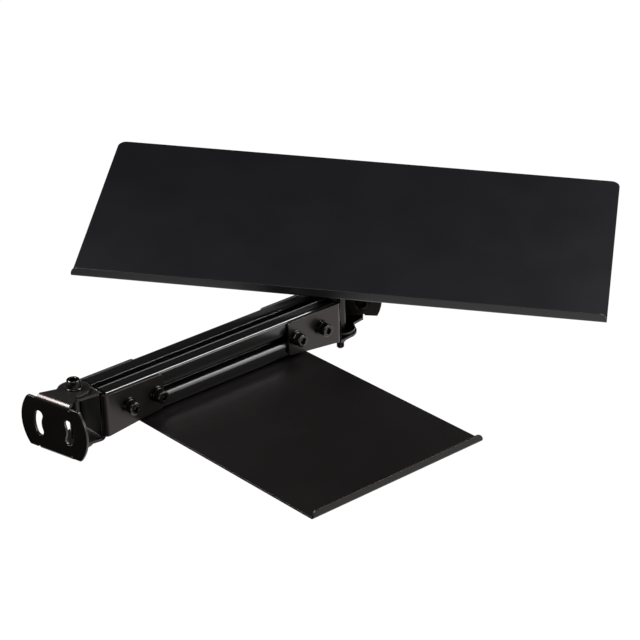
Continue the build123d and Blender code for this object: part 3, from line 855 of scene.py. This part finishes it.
# Mouse tray: 2 mm sheet steel like the keyboard tray, with a folded front lip. Powder coated. It
# hangs a washer's thickness below the extrusion's lower slot and can slide along it.
mouse_width = 209 * mm
mouse_lip = 9 * mm
mouse_reach = 271.7 * mm
mouse_bottom = washer_thickness + tray_sheet
mouse_plane = mouse_frame @ Matrix.Translation((0, -mouse_reach, -mouse_bottom))
mouse_holes = [(index * mouse_screw_pitch, mouse_reach, washer_bore) for index in (-1, 0, 1)]
mouse_coat = powder_coat("mouse_tray_powder_coat", "#080707", "#0d0c0c", "#fff1ec", 0.4, 0.3)
mouse_sheet = folded_sheet("mouse_tray_sheet", mouse_width, mouse_reach + profile_half, mouse_lip, 7 * mm,
                           5 * mm, mouse_plane, mouse_holes)
finish_piece(mouse_sheet, mouse_coat, "mouse", "tray_paint", "mouse_tray")

# Button screws: M8 screws with low domed heads, cold headed and blackened, that hold the mouse
# tray to its slot nuts from below.
button_radius = 7 * mm
button_height = 4.4 * mm


def button_screw(name, length):
    """Domed screw: its head stands on Z = 0 and its shank points down."""
    rings = screw_shank(bolt_radius, length, 12 * mm)
    dome_foot = 1.6 * mm
    dome_radius = button_height - dome_foot
    rings += [round_at(button_radius - 0.2 * mm, 0), round_at(button_radius, 0.2 * mm)]
    for step in range(9):
        angle = math.pi / 2 * step / 8
        rings.append(round_at(button_radius - dome_radius + dome_radius * math.cos(angle),
                              dome_foot + dome_radius * math.sin(angle)))
    return turned_piece(name, rings + socket(5 * mm, button_height, 2.2 * mm, 3.2 * mm))


set_out("mouse_button_screws", button_screw("button_screw_pattern", 16 * mm),
        mouse_seats(mouse_bottom + washer_thickness), 16, screw_steel, "mouse", "fastener_steel",
        "mouse_bolts")

# Stage: a pale plain floor as far below as a rig's arm stands, four softboxes and two black cards.
# The sky is white at the horizon and almost black above it.
floor_drop = 0.62
floor_half = 30.0
floor_glow_share = 0.95
floor_glow = 1.06


def stage_floor():
    """Pale floor that looks white to the camera and in gloss, and keeps a little of the shadow."""
    mesh = bpy.data.meshes.new("floor")
    corners = [(-floor_half, -floor_half), (floor_half, -floor_half),
               (floor_half, floor_half), (-floor_half, floor_half)]
    mesh.from_pydata([(x, y, -floor_drop) for x, y in corners], [], [(0, 1, 2, 3)])
    material = bpy.data.materials.new("pale_floor")
    material.use_nodes = True
    tree = material.node_tree
    tree.nodes.clear()
    rays = add_node(tree, "ShaderNodeLightPath").outputs
    seen = add_node(tree, "ShaderNodeMath", links={0: rays["Is Camera Ray"], 1: rays["Is Glossy Ray"]},
                    operation="MAXIMUM")
    seen = add_node(tree, "ShaderNodeMath", links={0: seen.outputs[0], 1: rays["Is Transmission Ray"]},
                    operation="MAXIMUM")
    share = add_node(tree, "ShaderNodeMath", {1: floor_glow_share}, {0: seen.outputs[0]},
                     operation="MULTIPLY")
    matte = add_node(tree, "ShaderNodeBsdfDiffuse", {"Color": linear("#f2f2f2")})
    white = add_node(tree, "ShaderNodeEmission", {"Color": (1, 1, 1, 1), "Strength": floor_glow})
    mixed = add_node(tree, "ShaderNodeMixShader",
                     links={0: share.outputs[0], 1: matte.outputs[0], 2: white.outputs[0]})
    add_node(tree, "ShaderNodeOutputMaterial", links={"Surface": mixed.outputs[0]})
    mesh.materials.append(material)
    piece_from(mesh, "floor")


def stage_sky():
    """Sky that is white up to a low height and fades from there to almost black."""
    white_height = 0.05
    dark_height = 0.11
    white_strength = 1.6
    dark_strength = 0.025
    world = bpy.data.worlds.new("studio")
    world.use_nodes = True
    tree = world.node_tree
    direction = add_node(tree, "ShaderNodeTexCoord").outputs["Generated"]
    height = add_node(tree, "ShaderNodeSeparateXYZ", links={0: direction})
    level = add_node(tree, "ShaderNodeMapRange",
                     {1: white_height, 2: dark_height, 3: white_strength, 4: dark_strength},
                     {0: height.outputs["Z"]})
    tree.links.new(level.outputs[0], tree.nodes["Background"].inputs["Strength"])
    tree.nodes["Background"].inputs["Color"].default_value = (1, 1, 1, 1)
    bpy.context.scene.world = world


def facing_frame(middle, side, back):
    """Frame at a point whose first axis is a side and whose third is a back direction."""
    return Matrix.Translation(middle) @ Matrix((side, back.cross(side), back)).transposed().to_4x4()


def softbox(name, middle, along, size, radiance):
    """Soft lamp that faces the object: its long side lies along a direction, and it isn't seen."""
    lamp = bpy.data.lights.new(name, "AREA")
    lamp.shape = "RECTANGLE"
    lamp.size, lamp.size_y = size
    lamp.energy = radiance * math.pi * size[0] * size[1]
    back = (Vector(middle) - lit_point).normalized()
    side = Vector(along).normalized()
    side = (side - back * side.dot(back)).normalized()
    box = bpy.data.objects.new(name, lamp)
    box.matrix_world = facing_frame(middle, side, back)
    box.visible_camera = False
    bpy.context.scene.collection.objects.link(box)


def dark_card(name, middle, facing, size):
    """Black card that keeps the white floor out of a face's gloss. The camera doesn't see it."""
    width, height = size[0] / 2, size[1] / 2
    mesh = bpy.data.meshes.new(name)
    mesh.from_pydata([(-width, -height, 0), (width, -height, 0), (width, height, 0), (-width, height, 0)], [],
                     [(0, 1, 2, 3)])
    back = Vector(facing).normalized()
    side = Vector((-back.y, back.x, 0)).normalized()
    mesh.transform(facing_frame(middle, side, back))
    material = bpy.data.materials.new("black_card")
    material.use_nodes = True
    shader = material.node_tree.nodes["Principled BSDF"]
    shader.inputs["Base Color"].default_value = linear("#030303")
    shader.inputs["Roughness"].default_value = 1.0
    shader.inputs["Specular IOR Level"].default_value = 0.0
    mesh.materials.append(material)
    card = piece_from(mesh, name)
    card.visible_camera = False
    card.visible_shadow = False


lit_point = Vector((0.2, -0.1, 0.0))
arm_way = (0.977, -0.215, 0.0)
stage_floor()
stage_sky()
dark_card("rig_side_card", (-0.34, 0.26, -0.2), (0.716, -0.543, 0.439), (0.9, 0.72))
dark_card("tray_side_card", (-0.30, -0.28, -0.35), (0.85, 0.289, 0.439), (0.5, 0.36))
softbox("right_softbox", (0.90, -0.73, 1.04), arm_way, (0.9, 0.28), 24.0)
softbox("front_softbox", (0.76, -1.36, 0.12), arm_way, (1.0, 0.3), 5.0)
softbox("top_softbox", (-0.30, -0.48, 1.30), arm_way, (0.8, 0.35), 7.0)
softbox("rig_softbox", (-0.09, 0.22, 0.35), (1.0, 0.0, 0.3), (0.26, 0.13), 36.0)

# Camera: at the photograph's viewing angle, seen over the rig end, with a long lens and a slight
# roll.
view_azimuth = math.radians(-52.83)
view_elevation = math.radians(26.05)
view_roll = math.radians(-1.35)
view_distance = 2348.4 * mm
view_aim = Vector((260.4, -116.1, 38.3)) * mm
lens_length = 135.65
sensor_width = 36.0
level_right = Vector((math.cos(view_azimuth), math.sin(view_azimuth), 0))
view_back = Vector((math.sin(view_azimuth) * math.cos(view_elevation),
                    -math.cos(view_azimuth) * math.cos(view_elevation), math.sin(view_elevation)))
level_up = view_back.cross(level_right)
view_right = level_right * math.cos(view_roll) + level_up * math.sin(view_roll)
view_up = level_up * math.cos(view_roll) - level_right * math.sin(view_roll)
camera = bpy.data.objects.new("camera", bpy.data.cameras.new("camera"))
camera.data.lens = lens_length
camera.data.sensor_width = sensor_width
camera.data.clip_end = 100.0
camera.matrix_world = (Matrix.Translation(view_aim + view_back * view_distance)
                       @ Matrix((view_right, view_up, view_back)).transposed().to_4x4())
bpy.context.scene.collection.objects.link(camera)
bpy.context.scene.camera = camera
bpy.context.scene.view_settings.view_transform = "Standard"
